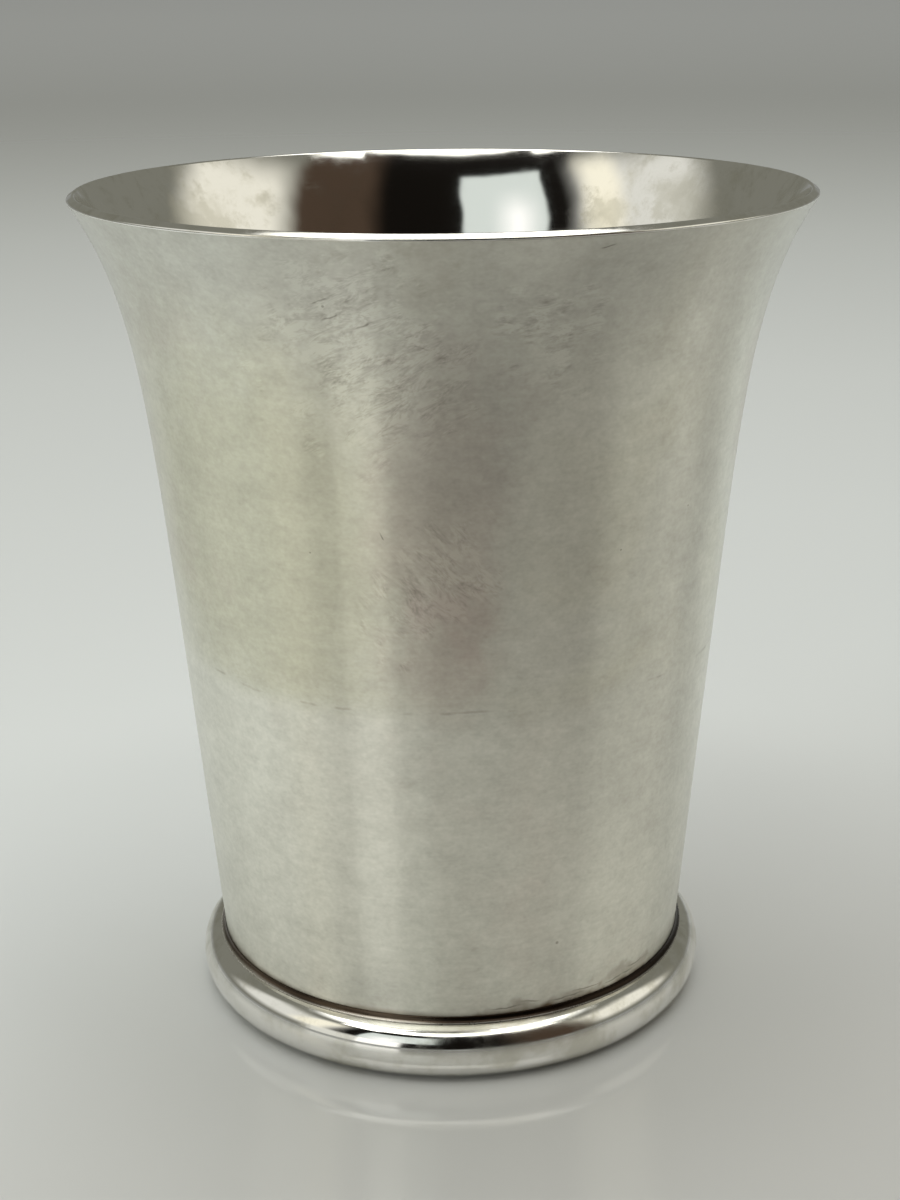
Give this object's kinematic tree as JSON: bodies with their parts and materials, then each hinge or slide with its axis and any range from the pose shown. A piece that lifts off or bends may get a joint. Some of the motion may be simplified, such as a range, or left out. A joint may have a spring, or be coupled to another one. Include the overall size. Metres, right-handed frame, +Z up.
{
  "type": "tumbler",
  "caption": "Silver beaker that holds a drink: tapering satin wall flared at a plain polished lip, set on a polished half-round foot ring.",
  "frame": {"origin": "middle of the foot ring, on the table", "axes": "+Z up along the axis of the beaker"},
  "size_m": [0.0764, 0.0764, 0.0885],
  "materials": {
    "satin_silver": "satin silver with fine polishing lines and light tarnish",
    "planished_silver": "planished silver, dull underneath",
    "polished_silver": "bright polished silver",
    "tarnished_solder": "dull tarnished silver solder"
  },
  "bodies": {
    "root": {"body_wall": "satin_silver", "base_plate": "planished_silver", "foot_wire": "polished_silver", "foot_solder_upper": "tarnished_solder", "foot_solder_lower": "tarnished_solder", "base_solder_inside": "tarnished_solder", "base_solder_under": "tarnished_solder"}
  },
  "joints": []
}
